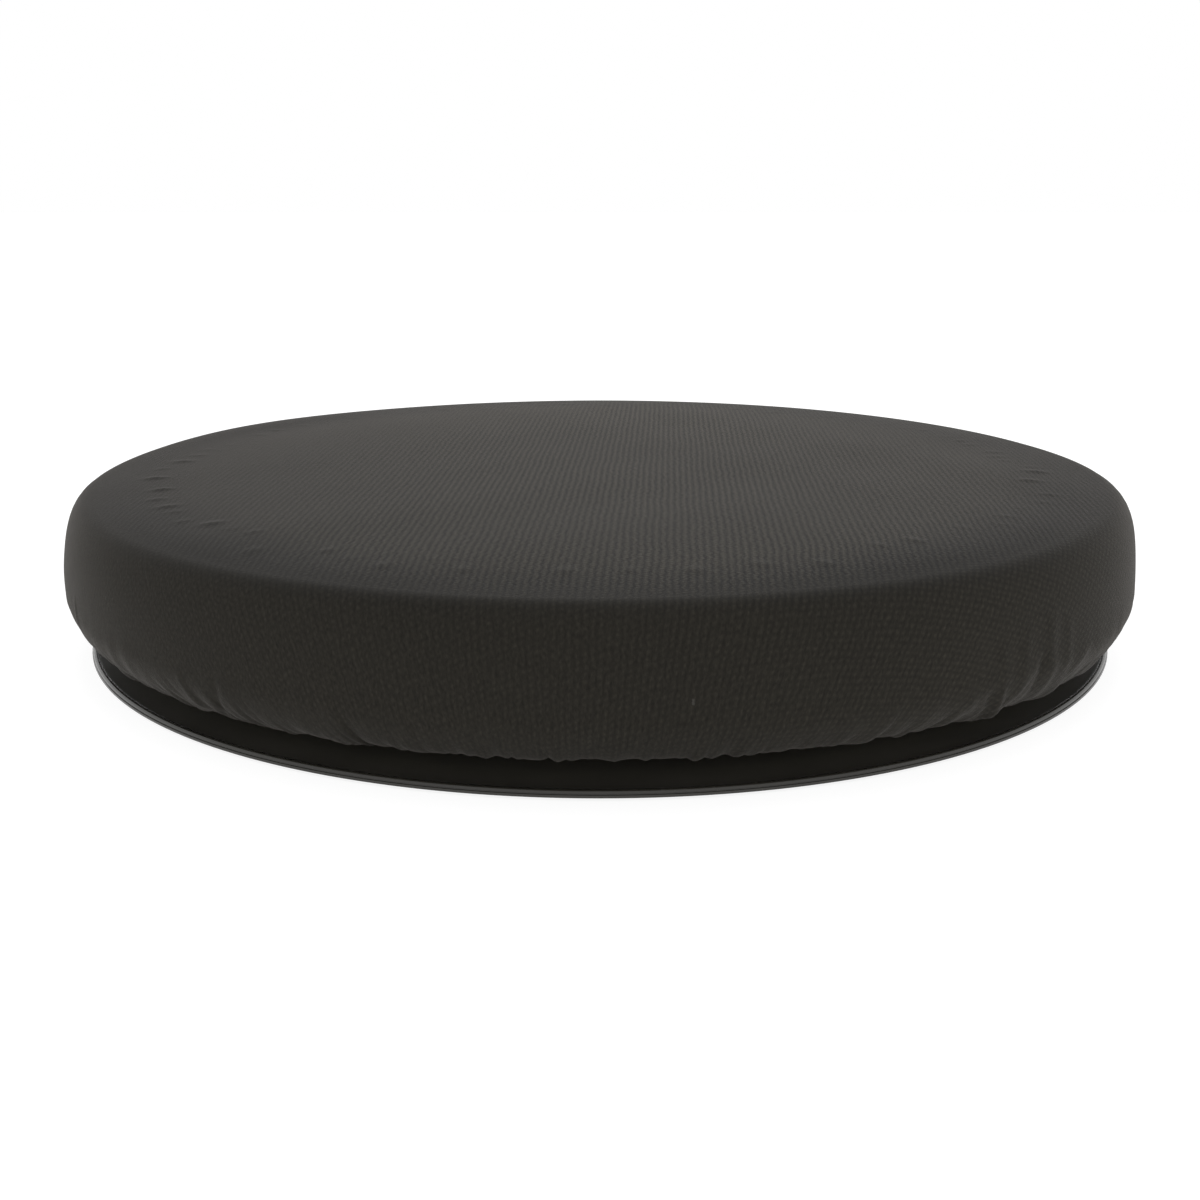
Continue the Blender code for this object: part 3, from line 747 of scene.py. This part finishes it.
def cover_shape(s, angle):
    """How far the cloth stands out from the smooth outline, and how far it is drawn round the axis, in millimetres:
    puckers on top, creases that run with the ribs, and gathers along the lower edge."""
    u, v = s * np.cos(angle), s * np.sin(angle)
    rib = (RIBS[0] * u + RIBS[1] * v) / math.hypot(*RIBS)
    row = (ROWS[0] * u + ROWS[1] * v) / math.hypot(*ROWS)
    rng = np.random.default_rng(3)
    out = np.zeros_like(s)

    top = 1.0 - smooth_step(s, S_SHOULDER - 14.0, S_SHOULDER + 6.0)
    out += top * 0.07 * noise_wave(rng, u * 0.8 + v * 0.6, 120.0, 50.0)
    out += top * 0.07 * noise_wave(rng, u * 0.6 - v * 0.8, 120.0, 50.0)
    for degrees, wide, along, painted_stitch_shade, full in (
        (2.0, 15.0, 200.0, 8.0, 1.3),
        (148.0, 20.0, 184.0, 13.0, 1.05),
        (-36.0, 24.0, 226.0, 12.0, 0.70),
        (-172.0, 12.0, 217.0, 8.0, 0.95),
        (-50.0, 20.0, 189.0, 10.0, -1.0),
        (-137.0, 19.0, 189.0, 9.0, -0.75),
    ):
        turn = angle_from(angle, degrees)
        out += full * np.exp(-((turn / math.radians(wide)) ** 2) - ((s - along) / painted_stitch_shade) ** 2)
    for degrees, wide, full in ((-53.0, 24.0, 0.90), (-134.0, 18.0, 0.45)):
        turn = angle_from(angle, degrees)
        edge = smooth_step(s, 70.0, 178.0) * (1.0 - smooth_step(s, 184.0, 204.0))
        out += full * edge * np.exp(-((turn / math.radians(wide)) ** 2))
    for degrees, along, size, high in puckers():
        turn = angle_from(angle, degrees)
        across, forward = turn * along, s - along
        near = (np.abs(across) < 12.0) & (np.abs(forward) < 14.0)
        a, b = across[near] / size, forward[near] / (size * 1.5)
        out[near] += high * np.exp(-(a * a) - b * b)

    # Gathers: puffs between narrow creases. They run with the ribs where those point in towards the axis, and with
    # the rows at the two sides.
    along_ribs = np.abs(np.sin(angle))
    share = smooth_step(along_ribs, 0.35, 0.62)
    low = smooth_step(s, 219.0, S_LOW + 4.0) ** 1.4
    for where, weight in ((rib, share), (row, 1.0 - share)):
        phase = where / 9.5 + 0.55 * noise_wave(rng, where, 60.0, 16.0)
        puff = np.abs(np.sin(math.pi * phase)) ** 0.75
        strength = 0.55 + 0.35 * noise_wave(rng, where, 90.0, 25.0)
        out += weight * low * np.clip(strength, 0.1, 1.3) * (1.25 * puff - 0.55)
        fine = np.sin(math.pi * (where / 3.1 + 0.4 * noise_wave(rng, where, 30.0, 9.0)))
        bunched = 0.16 + 0.20 * np.exp(-(((angle_from(angle, -131.0)) / math.radians(11.0)) ** 2))
        out += weight * low * bunched * fine * smooth_step(s, 226.0, 238.0)

    # Larger tucks, each one a puff that laps over the cloth beyond it
    aside = np.zeros_like(s)
    for degrees, high, before, after, lap in (
        (-66.8, 1.2, 7.0, 3.0, 1.0),
        (-53.0, 1.9, 8.0, 2.4, 0.7),
        (-44.9, 2.0, 5.0, 3.6, 0.8),
        (-36.0, 0.8, 6.0, 3.6, 0.5),
        (-29.0, 0.6, 6.0, 3.5, 0.3),
        (-104.5, 0.8, 6.0, 3.0, 1.0),
        (-110.3, 1.0, 5.0, 2.8, 1.1),
        (-123.5, 0.9, 6.0, 3.4, 1.0),
        (31.0, 2.0, 9.0, 4.0, 2.0),
        (74.0, 1.4, 8.0, 4.0, 1.4),
        (118.0, 2.2, 9.0, 4.0, 2.2),
        (151.0, 1.6, 8.0, 4.0, 1.4),
    ):
        t = math.radians(degrees)
        here = S_LOW * (RIBS[0] * math.cos(t) + RIBS[1] * math.sin(t)) / math.hypot(*RIBS)
        x = rib - here
        if degrees > 0.0:
            x = -x
        side = np.where(x < 0.0, np.exp(np.minimum(x, 0.0) / before), -0.45 * np.exp(-np.maximum(x, 0.0) / after))
        soft = np.tanh(np.abs(x) / 1.2)
        near = np.exp(-((angle_from(angle, degrees) / math.radians(8.0)) ** 2))
        rise = smooth_step(s, 214.0, S_LOW + 1.0) ** 1.3
        out += high * side * soft * near * rise
        aside += lap * np.exp(np.minimum(x + 0.8, 0.0) / 4.0) * (1.0 - smooth_step(x, -0.8, 0.8)) * near * rise

    # Soft folds and the hollows between them, each from one bearing and distance to another, and the rolled hem
    for start, low_s, stop, high_s, wide, full in (
        (-53.4, 227.0, -52.8, 237.5, 1.5, 0.70),
        (-54.7, 227.8, -54.0, 237.0, 1.7, -0.65),
        (-56.9, 227.8, -55.6, 238.0, 1.9, 0.45),
        (-50.7, 228.0, -51.2, 235.0, 2.5, 0.35),
        (-48.2, 221.0, -48.7, 236.0, 2.0, -0.50),
        (-46.2, 224.0, -46.9, 235.0, 2.3, 0.42),
        (-53.6, 214.0, -53.2, 223.0, 2.6, 0.26),
        (-50.4, 211.0, -50.6, 222.0, 2.6, 0.30),
        (-46.6, 209.0, -46.8, 222.0, 2.4, 0.34),
        (-43.8, 212.0, -43.8, 224.0, 2.1, 0.22),
        (-129.0, 224.0, -127.9, 234.0, 1.5, 0.35),
        (-124.3, 223.0, -125.3, 237.0, 1.3, -0.45),
        (-158.0, 220.0, -157.4, 232.0, 1.8, 0.24),
        (-151.5, 218.0, -150.8, 232.0, 1.6, 0.26),
    ):
        x, y = angle_from(angle, start) * 192.0, s - low_s
        dx, dy = math.radians(stop - start) * 192.0, high_s - low_s
        t = np.clip((x * dx + y * dy) / (dx * dx + dy * dy), 0.0, 1.0)
        out += full * np.exp(-(((x - t * dx) ** 2 + (y - t * dy) ** 2) / wide**2))
    rolled = np.exp(-((angle_from(angle, -33.0) / math.radians(12.0)) ** 4))
    uneven = 0.75 + 0.30 * noise_wave(rng, angle * 190.0, 26.0, 8.0)
    out += 1.0 * rolled * np.clip(uneven, 0.2, 1.4) * np.exp(-(((s - S_LOW + 4.5) / 3.4) ** 2))

    # Small lumps where the hem is bunched
    lumps = [(d, 1.5 + 0.6 * rng.random(), 0.4 + 0.3 * rng.random()) for d in (-112.5, -99.6, -92.9, -88.5, -86.1, -82.1)]
    lumps += [(-78.2, 1.9, 0.65), (-62.8, 1.9, 0.8)]
    turn = -58.0
    while turn < 242.0:
        lumps.append((turn, rng.uniform(1.3, 2.4), rng.uniform(0.2, 0.7)))
        turn += rng.uniform(2.0, 6.5)
    for degrees, size, high in lumps:
        x = angle_from(angle, degrees) * 187.0
        close = np.abs(x) < 6.0
        out[close] += high * np.exp(-((x[close] / size) ** 2) - ((s[close] - S_LOW + 0.5) / 3.4) ** 2)
    return out, aside


def drawn_ring(bm, positions):
    return [bm.verts.new(p) for p in positions]


def join_rings(bm, a, b):
    """Faces between two closed rings that start at the same angle; their counts may differ."""
    if len(a) == len(b):
        for k in range(len(a)):
            m = (k + 1) % len(a)
            bm.faces.new((a[k], b[k], b[m], a[m]))
        return
    i = j = 0
    while i < len(a) or j < len(b):
        if j >= len(b) or (i < len(a) and (i + 1) / len(a) <= (j + 1) / len(b)):
            bm.faces.new((a[i % len(a)], b[j % len(b)], a[(i + 1) % len(a)]))
            i += 1
        else:
            bm.faces.new((a[i % len(a)], b[j % len(b)], b[(j + 1) % len(b)]))
            j += 1


def polar(r, z, count):
    angle = np.arange(count) * TURN / count
    return np.stack([r * np.cos(angle), r * np.sin(angle), np.full(count, z)], -1)


def knit_cover(finish):
    """The knit cover: rings of points on the outline, moved by the simulated cloth and given their puckers and
    gathers. An inner wall one cloth's thickness inside closes it."""
    band = simulated_band()
    bm = bmesh.new()
    layer = bm.verts.layers.float_vector.new("weave")
    outer = []
    for s, count in cover_rings():
        angle = np.arange(count) * TURN / count
        r, z, out_r, out_z = (float(v) for v in on_outline(s))
        drawn, aside, down = drift_at(s, count, band) * float(1.0 - smooth_step(s, S_END - 10.0, S_END - 1.0))
        shaped, lapped = cover_shape(np.full(count, s), angle)
        out = drawn + shaped
        end = float(smooth_step(s, S_END - 4.0, S_END))
        out = out * (1.0 - end) + np.minimum(out, 0.6) * end
        under = float(smooth_step(s, S_LOW - 12.0, S_LOW + 2.0))
        out = np.maximum(np.where(out < 0.0, out * (1.0 - 0.45 * under), out), -0.85)
        radius = r + out * out_r + down * out_z
        height = z + out * out_z - down * out_r
        turned_to = angle + (aside + lapped * (1.0 - end)) / max(r, 20.0)
        places = np.stack([radius * np.cos(turned_to), radius * np.sin(turned_to), height], -1) * MM
        ring = drawn_ring(bm, places)
        squeeze = s / max(r, 1.0) - 1.0
        for k, vert in enumerate(ring):
            vert[layer] = (s * math.cos(angle[k]), s * math.sin(angle[k]), squeeze)
        outer.append(ring)
    centre = bm.verts.new((0.0, 0.0, (SHOULDER[1] + CROWN) * MM))
    for k in range(len(outer[0])):
        bm.faces.new((centre, outer[0][k], outer[0][(k + 1) % len(outer[0])]))
    for a, b in zip(outer, outer[1:]):
        join_rings(bm, a, b)

    inner = []
    depths = [S_END, S_END - 8.0] + list(np.arange(S_LOW + 6.0, S_LOW - 18.0, -2.4))
    depths += list(np.arange(S_LOW - 20.0, S_SHOULDER - 9.0, -3.6)) + [150.0, 110.0, 60.0, 20.0]
    for s in depths:
        r, z, out_r, out_z = (float(v) for v in on_outline(s))
        ring = drawn_ring(bm, polar(r - 1.2 * out_r, z - 1.2 * out_z, 176) * MM)
        for k, vert in enumerate(ring):
            vert[layer] = (s * math.cos(TURN * k / 176), s * math.sin(TURN * k / 176), 0.0)
        inner.append(ring)
    join_rings(bm, outer[-1], inner[0])
    for a, b in zip(inner, inner[1:]):
        join_rings(bm, a, b)
    middle = bm.verts.new((0.0, 0.0, (SHOULDER[1] + CROWN - 1.2) * MM))
    for k in range(176):
        bm.faces.new((middle, inner[-1][k], inner[-1][(k + 1) % 176]))
    bmesh.ops.recalc_face_normals(bm, faces=bm.faces)
    cover = finished("knit_cover", bm, finish, None, (), 70.0)
    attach(cover, "seat")
    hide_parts("seat_cover")
    return cover


def drawn_elastic(finish):
    """The braided elastic along the hem, drawn into small waves by the gathers."""
    around, sides = 900, 12
    angle = np.arange(around) * TURN / around
    rng = np.random.default_rng(21)
    wave = np.zeros(around)
    for k in rng.integers(60, 120, 10):
        wave += np.sin(k * angle + rng.uniform(0.0, TURN)) / 6.0
    bm = bmesh.new()
    layer = bm.verts.layers.float_vector.new("weave")
    rings = []
    for j in range(sides):
        turn = TURN * j / sides
        r = 162.95 + (1.0 + 0.08 * wave) * math.cos(turn) + 0.08 * wave
        z = 10.6 + 0.95 * math.sin(turn) + 0.12 * wave
        ring = drawn_ring(bm, np.stack([r * np.cos(angle), r * np.sin(angle), z], -1) * MM)
        for k, vert in enumerate(ring):
            vert[layer] = (163.0 * angle[k], turn * 1.1, 0.0)
        rings.append(ring)
    for a, b in zip(rings, rings[1:] + rings[:1]):
        join_rings(bm, a, b)
    bmesh.ops.recalc_face_normals(bm, faces=bm.faces)
    return finished("braided_elastic", bm, finish, "seat", ("hem_elastic",))


def foam_core(finish):
    """The foam pad inside the cover, with the soft unevenness of cut foam."""
    bottom = 15.05
    section = [(0.0, bottom)] + [(r, bottom) for r in (60.0, 120.0, 160.0)]
    depths = np.concatenate([np.arange(S_LOW - 4.0, S_SHOULDER - 6.0, -2.5), [168.0, 140.0, 110.0, 80.0, 50.0, 25.0]])
    for s in depths:
        r, z, out_r, out_z = on_outline(s)
        r, z = float(r - 1.7 * out_r), float(z - 1.7 * out_z)
        if z > bottom + 0.3:
            section.append((r, z))
    first = section[4]
    section.insert(4, (first[0] - 1.5, bottom))
    section.append((0.0, SHOULDER[1] + CROWN - 1.7))
    pad = turned("foam_core", section, 176, finish, None, (), 50.0)
    points = np.empty(len(pad.data.vertices) * 3)
    pad.data.vertices.foreach_get("co", points)
    points = points.reshape(-1, 3) / MM
    rng = np.random.default_rng(8)
    lump = 0.10 * noise_wave(rng, points[:, 0] + 0.4 * points[:, 2], 40.0, 8.0)
    lump += 0.10 * noise_wave(rng, points[:, 1] - 0.3 * points[:, 2], 40.0, 8.0)
    above = smooth_step(points[:, 2], bottom + 0.2, bottom + 4.0)
    inward = np.clip(np.abs(lump), 0.0, 0.35) * above
    reach = np.hypot(points[:, 0], points[:, 1])
    points[:, 0] *= 1.0 - inward / np.maximum(reach, 60.0)
    points[:, 1] *= 1.0 - inward / np.maximum(reach, 60.0)
    points[:, 2] -= inward * 0.6
    pad.data.vertices.foreach_set("co", (points * MM).astype(np.float32).ravel())
    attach(pad, "seat")
    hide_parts("foam_pad")
    return pad


# ------------------------------------------------------------- the rigid pieces


def base_plate(finish):
    """The still plate: a thin web with ribs, the lower race's seat and the post on top, and a raised rim whose
    rounded bead stands over a fine step in its outer edge."""
    low, web, land = 0.6, 2.4, 2.6
    wall_in, wall_out, wall_top = 114.0, 126.0, 4.4
    core = [(3.3, low)]
    for inner, outer in ((28.0, 54.0), (158.0, 180.6)):
        core += [(inner, low), (inner, low + 0.7), (outer, low + 0.7), (outer, low)]
    core += [(184.6, low), (185.0, low + 0.2), (187.6, low + 0.2), (188.0, low)]
    rim = [
        (189.90, low),
        (190.08, low + 0.06),
        (190.14, low + 0.20),
        (190.14, low + 0.66),
        (190.02, low + 0.86),
        (189.70, low + 0.96),
        (189.62, low + 1.14),
    ]
    for k in range(9):
        t = math.pi * (0.02 + 0.76 * k / 8)
        rim.append((188.84 + 0.98 * math.cos(t), low + 1.20 + 0.98 * math.sin(t) ** 0.9))
    inside = [
        (187.72, low + 1.82),
        (187.1, web),
        (wall_out + 1.9, web),
        (wall_out + 1.6, web + 0.3),
        (wall_out + 1.6, wall_top),
        (wall_out, wall_top),
        (wall_out, land),
        (wall_in, land),
        (wall_in, wall_top),
        (wall_in - 1.6, wall_top),
        (wall_in - 1.6, web + 0.3),
        (wall_in - 1.9, web),
        (23.0, web),
        (22.0, web + 0.6),
        (22.0, wall_top),
        (12.2, wall_top),
        (11.0, wall_top + 1.2),
        (11.0, 10.3),
        (3.3, 10.3),
    ]
    section = fillet(core, 0.25, 2) + rim + fillet(inside, 0.3, 2)[:-3]
    section = [p for i, p in enumerate(section) if i == 0 or math.dist(p, section[i - 1]) > 0.01]
    section += [(10.8, 10.1), (10.6, 10.3), (3.5, 10.3), (3.3, 10.1)]
    plate = turned("moulded_base", section, 240, finish, None, ())
    cut_and_join(
        plate,
        (boxes("ribs_in", 12, 21.0, 113.2, 1.6, 4.2, 1.6), "UNION"),
        (boxes("ribs_out", 12, 126.8, 150.5, 1.6, 4.0, 1.6, math.pi / 12), "UNION"),
        (hexagon("nut_pocket", 10.6, -1.0, 6.6), "DIFFERENCE"),
    )
    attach(plate, "base")
    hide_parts("base_plate")
    return plate


def grip_ring(name, inner, outer, node, finish):
    """A rubber ring whose underside is moulded with fine round ridges that grip the seat below."""
    top = 1.0
    section = [(inner, top), (inner, 0.25)]
    count = int((outer - inner - 1.0) / 2.0)
    pitch = (outer - inner - 1.0) / count
    for k in range(count):
        r = inner + 0.5 + pitch * k
        section += [
            (r + 0.15 * pitch, 0.32),
            (r + 0.30 * pitch, 0.04),
            (r + 0.40 * pitch, 0.0),
            (r + 0.60 * pitch, 0.0),
            (r + 0.70 * pitch, 0.04),
            (r + 0.85 * pitch, 0.32),
        ]
    section += [(outer, 0.25), (outer, top)]
    return turned(name, section, 192, finish, "base", (node,), 60.0)


def track(name, low, up, node, body, finish):
    """A pressed steel race with a round ball track in its face."""
    inner, outer, high, face = 114.3, 125.7, low + 1.5, low + 1.5 if up else low
    way = -1.0 if up else 1.0
    groove = []
    for k in range(9):
        t = -1.0 + k / 4.0
        groove.append((120.0 + 2.1 * t, face + way * 0.5 * math.sqrt(max(1.0 - t * t, 0.0))))
    if up:
        corners = fillet([(inner, high), (inner, low), (outer, low), (outer, high)], 0.2, 2)
        section = corners + list(reversed(groove))
    else:
        corners = fillet([(outer, low), (outer, high), (inner, high), (inner, low)], 0.2, 2)
        section = corners + groove
    return turned(name, section, 192, finish, body, (node,), 30.0)


def swivel_plate(finish):
    """The turning plate: a flat web with a skirt, race walls, ribs underneath and a cup for the bolt's head."""
    land, top = 12.15, 14.75
    section = [
        (13.1, 6.5),
        (23.0, 6.5),
        (23.0, land),
        (112.4, land),
        (112.4, 10.35),
        (114.0, 10.35),
        (114.0, land),
        (126.0, land),
        (126.0, 10.35),
        (127.6, 10.35),
        (127.6, land),
        (158.9, land),
        (158.9, 3.8),
        (160.5, 3.8),
        (160.5, land),
        (184.0, land),
        (184.0, top),
        (20.5, top),
        (20.5, 9.0),
        (13.1, 9.0),
    ]
    plate = turned("moulded_swivel", fillet(section, 0.35, 2), 216, finish, None, ())
    cut_and_join(
        plate,
        (boxes("ribs_in", 12, 22.0, 113.2, 9.45, 12.95, 1.6), "UNION"),
        (boxes("ribs_out", 24, 126.8, 159.7, 9.85, 12.95, 1.6, math.pi / 24), "UNION"),
    )
    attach(plate, "seat")
    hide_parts("swivel_plate")
    return plate


def ball_cage(finish):
    cage = turned(
        "moulded_cage",
        fillet([(112.5, 6.175), (127.5, 6.175), (127.5, 8.575), (112.5, 8.575)], 0.4, 2),
        192,
        finish,
        None,
        (),
    )
    holes = bmesh.new()
    for i in range(16):
        turn = TURN * (i + 0.5) / 16
        bmesh.ops.create_cone(
            holes,
            cap_ends=True,
            segments=28,
            radius1=3.55 * MM,
            radius2=3.55 * MM,
            depth=7.2 * MM,
            matrix=Matrix.Translation((0.12 * math.cos(turn), 0.12 * math.sin(turn), 7.375 * MM)),
        )
    cut_and_join(cage, (finished("pockets", holes, None, None, ()), "DIFFERENCE"))
    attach(cage, "cage")
    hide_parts("ball_cage")
    return cage


def steel_balls(finish):
    for i in range(16):
        turn = TURN * (i + 0.5) / 16
        bm = bmesh.new()
        bmesh.ops.create_icosphere(
            bm,
            subdivisions=4,
            radius=3.175 * MM,
            matrix=Matrix.Translation((0.12 * math.cos(turn), 0.12 * math.sin(turn), 7.375 * MM)),
        )
        finished(f"race_ball_{i + 1:02d}", bm, finish, "cage", (f"ball_{i + 1:02d}",), 80.0)


def fasteners(bolt_finish, nut_finish, washer_finish, bush_finish):
    bolt = turned(
        "socket_bolt",
        fillet(
            [
                (0.0, 1.2),
                (2.5, 1.2),
                (3.0, 1.7),
                (3.0, 12.1),
                (6.5, 12.1),
                (6.5, 12.8),
                (5.3, 14.0),
                (3.5, 14.7),
                (0.0, 14.7),
            ],
            0.25,
            2,
        ),
        64,
        bolt_finish,
        None,
        (),
    )
    cut_and_join(bolt, (hexagon("socket", 4.0, 13.1, 15.7), "DIFFERENCE"))
    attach(bolt, "base")
    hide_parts("pivot_bolt")
    nut = turned(
        "locking_nut",
        [
            (3.3, 1.3),
            (4.5, 1.3),
            (4.7, 1.5),
            (4.7, 2.25),
            (4.9, 2.35),
            (5.2, 2.4),
            (5.95, 2.85),
            (5.95, 5.85),
            (5.2, 6.3),
            (3.6, 6.3),
            (3.3, 6.0),
        ],
        72,
        nut_finish,
        None,
        (),
    )
    cut_and_join(nut, (hexagon("flats", 10.0, 0.0, 7.3), "INTERSECT"))
    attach(nut, "base")
    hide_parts("pivot_nut")
    turned(
        "wide_washer",
        fillet([(3.3, 10.6), (17.5, 10.6), (17.5, 11.8), (3.3, 11.8)], 0.25, 3),
        96,
        washer_finish,
        "base",
        ("retaining_washer",),
    )
    turned(
        "flanged_bush",
        fillet(
            [(11.3, 6.8), (12.8, 6.8), (12.8, 9.3), (17.5, 9.3), (17.5, 10.3), (11.3, 10.3)],
            0.25,
            3,
        ),
        96,
        bush_finish,
        "seat",
        ("hub_bush",),
    )


# --------------------------------------------------------------- studio and camera


def studio():
    """A pale floor lit from below like a light table, a white room, and one large soft light above."""
    n = Nodes("floor_paper")
    place = object_place(n)
    tone = n.remap(n.noise(place, 0.004, 2.0), 0.3, 0.7, 0.985, 1.0)
    n.out(n.vector("SCALE", (0.24, 0.24, 0.24), scale=tone), 0.9)
    n.fix(Specular_IOR_Level=0.1, Emission_Color=(1.0, 1.0, 1.0, 1.0), Emission_Strength=0.86)
    bm = bmesh.new()
    bmesh.ops.create_grid(bm, x_segments=4, y_segments=4, size=6.0)
    floor = finished("floor", bm, n.material, None, ())
    floor.location.z = -0.0004

    world = bpy.data.worlds.new("white_room")
    world.use_nodes = True
    world.node_tree.nodes["Background"].inputs["Color"].default_value = (1.0, 1.0, 1.0, 1.0)
    world.node_tree.nodes["Background"].inputs["Strength"].default_value = 1.0
    SCENE.world = world

    light = bpy.data.lights.new("overhead_softbox", "AREA")
    light.shape = "RECTANGLE"
    light.size, light.size_y = 1.6, 1.2
    light.energy = 11.0
    above = bpy.data.objects.new("overhead_softbox", light)
    above.location = (0.10, 0.85, 1.35)
    above.rotation_euler = (math.radians(-31.0), math.radians(3.0), 0.0)
    SCENE.collection.objects.link(above)

    SCENE.view_settings.view_transform = "Standard"
    SCENE.view_settings.look = "None"
    SCENE.view_settings.exposure = 0.0
    SCENE.view_settings.gamma = 1.0


def camera():
    """The photograph's viewing angle: just above the front edge, looking down by 15.48 degrees."""
    lens = bpy.data.cameras.new("camera")
    lens.sensor_fit = "HORIZONTAL"
    lens.sensor_width = 36.0
    lens.lens = 1547.0 / 1200.0 * 36.0
    lens.clip_start, lens.clip_end = 0.01, 50.0
    view = bpy.data.objects.new("camera", lens)
    view.location = (0.0, -0.58493, 0.16657)
    view.rotation_euler = (math.radians(90.0 - 15.48), 0.0, 0.0)
    SCENE.collection.objects.link(view)
    SCENE.camera = view


def build():
    camera()
    studio()
    base_plate(moulded_material("base_plastic", (0.0205, 0.0190, 0.0152), (0.17, 0.27), rubbed=187.7))
    rubber = rubber_material()
    grip_ring("grip_ring", 158.3, 180.3, "anti_slip_ring", rubber)
    grip_ring("centre_grip_ring", 28.3, 53.7, "centre_anti_slip_ring", rubber)
    race_steel = steel_material("race_steel", (0.56, 0.55, 0.53), 0.30)
    track("ball_track_low", 2.9, True, "lower_race", "base", race_steel)
    track("ball_track_up", 10.35, False, "upper_race", "seat", race_steel)
    swivel_plate(moulded_material("swivel_plastic", (0.014, 0.0138, 0.0135), (0.42, 0.58), 0.6))
    ball_cage(moulded_material("cage_acetal", (0.62, 0.61, 0.57), (0.38, 0.5), 0.7, 0.00001))
    steel_balls(steel_material("ball_steel", (0.62, 0.62, 0.61), 0.16, False))
    fasteners(
        steel_material("bolt_zinc", (0.55, 0.55, 0.54), 0.34),
        steel_material("nut_zinc", (0.58, 0.56, 0.50), 0.36),
        steel_material("washer_zinc", (0.57, 0.57, 0.55), 0.38),
        moulded_material("bush_acetal", (0.68, 0.67, 0.62), (0.36, 0.48), 0.7, 0.00001),
    )
    foam_core(foam_material())
    knit_cover(knit_material())
    drawn_elastic(elastic_material())


build()
